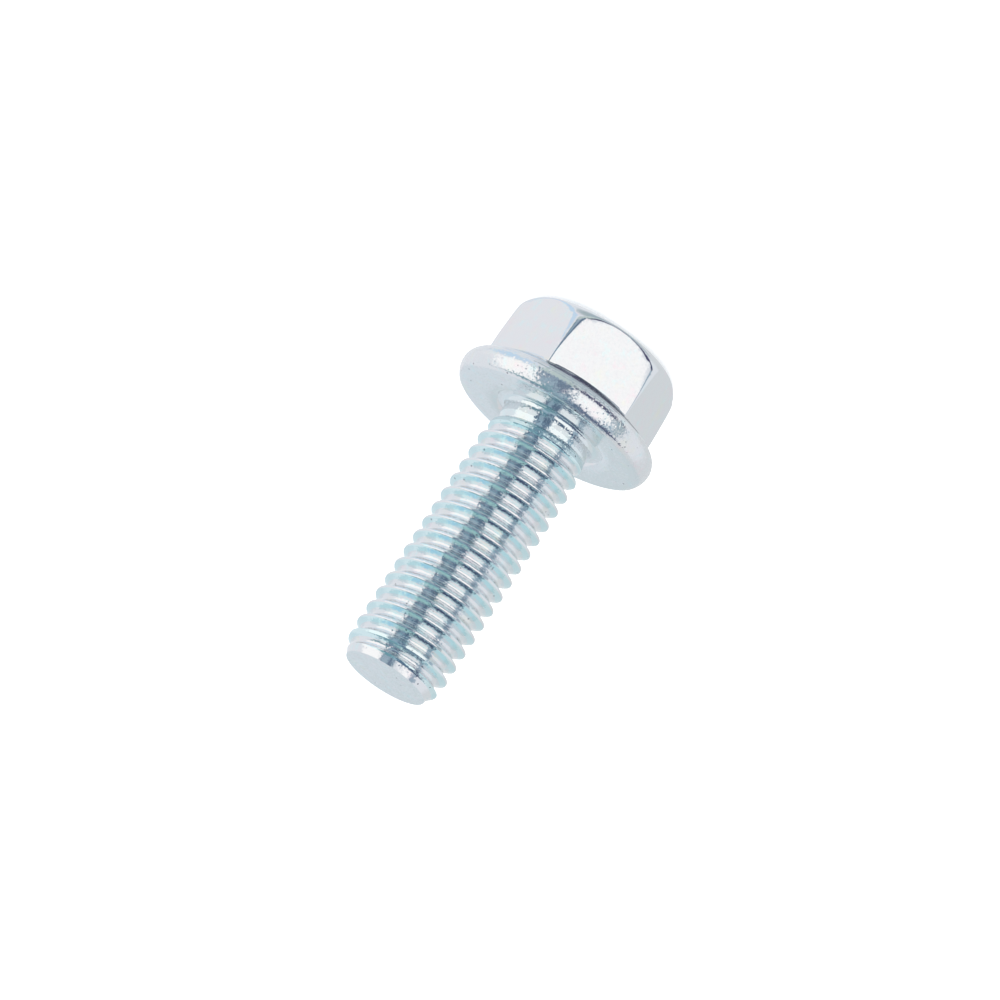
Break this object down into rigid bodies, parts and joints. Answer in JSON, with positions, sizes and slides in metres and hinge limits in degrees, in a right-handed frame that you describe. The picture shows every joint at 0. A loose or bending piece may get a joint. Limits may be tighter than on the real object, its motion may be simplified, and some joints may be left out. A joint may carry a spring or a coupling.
{
  "type": "flange bolt",
  "caption": "Hexagon flange bolt: hexagon head forged in one with a sloped flange, above a coarse right-hand thread that runs almost to the bearing face.",
  "frame": {"origin": "centre of the bearing face, the annular underside of the flange, on the axis of the thread", "axes": "+Z along the shank from the head to the point, so the bolt stands on the top of its head; two corners of the hexagon lie on +X and -X, and two of its flats face +Y and -Y"},
  "size_m": [0.0156, 0.0156, 0.0297],
  "materials": {
    "zinc_steel": "bright zinc plating with a blue passivation, over cold forged and thread rolled steel"
  },
  "bodies": {
    "root": {"flange_bolt": "zinc_steel"}
  },
  "joints": []
}
